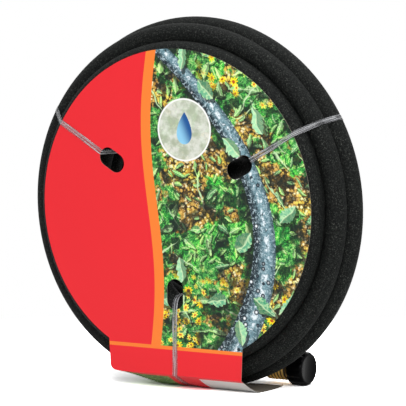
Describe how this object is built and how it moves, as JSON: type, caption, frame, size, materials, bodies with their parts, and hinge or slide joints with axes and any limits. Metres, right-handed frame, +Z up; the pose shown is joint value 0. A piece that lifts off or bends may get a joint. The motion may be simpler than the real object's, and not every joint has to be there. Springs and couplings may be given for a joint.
{
  "type": "soaker hose",
  "caption": "Porous rubber garden hose wound in a round coil behind a printed card, with a swivel nut at one end and a screw cap at the other.",
  "frame": {"origin": "centre of the bounding box's bottom, on the surface that the coil stands on", "axes": "+Z up, -Y towards the front of the card, +X to the right as the card is seen from the front, towards the capped outlet"},
  "size_m": [0.4144, 0.1398, 0.4113],
  "materials": {
    "hose_rubber": "matte, porous, finely speckled",
    "ferrule_brass": "bright, crimped ridges",
    "coupling_brass": "machined, satin",
    "washer_rubber": "smooth",
    "restrictor_plastic": "satin",
    "cap_plastic": "glossy, moulded",
    "printed_card": "coated and printed on the front, uncoated behind",
    "tie_plastic": "translucent, satin"
  },
  "bodies": {
    "coil": {"hose_coil": "hose_rubber", "hose_inlet_end": "hose_rubber", "hose_outlet_end": "hose_rubber", "inlet_ferrule": "ferrule_brass", "inlet_tailpiece": "coupling_brass", "inlet_washer": "washer_rubber", "flow_restrictor": "restrictor_plastic", "outlet_ferrule": "ferrule_brass", "outlet_thread_stem": "coupling_brass", "display_card": "printed_card", "tie_left": "tie_plastic", "tie_right": "tie_plastic", "tie_bottom": "tie_plastic"},
    "nut": {"inlet_swivel_nut": "coupling_brass"},
    "cap_seal": {"end_cap_washer": "washer_rubber"},
    "cap": {"end_cap": "cap_plastic"}
  },
  "joints": [
    {"name": "nut_spin", "type": "hinge", "parent": "coil", "child": "nut", "pos_m": [0.04, 0.05295, 0.24407], "axis": [0, 1, 0], "continuous": true},
    {"name": "cap_travel", "type": "slide", "parent": "coil", "child": "cap_seal", "axis": [1, 0, 0], "range_m": [0, 0.0298]},
    {"name": "cap_turn", "type": "hinge", "parent": "cap_seal", "child": "cap", "pos_m": [0.09, 0.04365, 0.019], "axis": [1, 0, 0], "range_deg": [0, 4860]}
  ],
  "couplings": [
    {"joint": "cap_turn", "follows": "cap_travel", "rad_per_m": 2844.4}
  ]
}
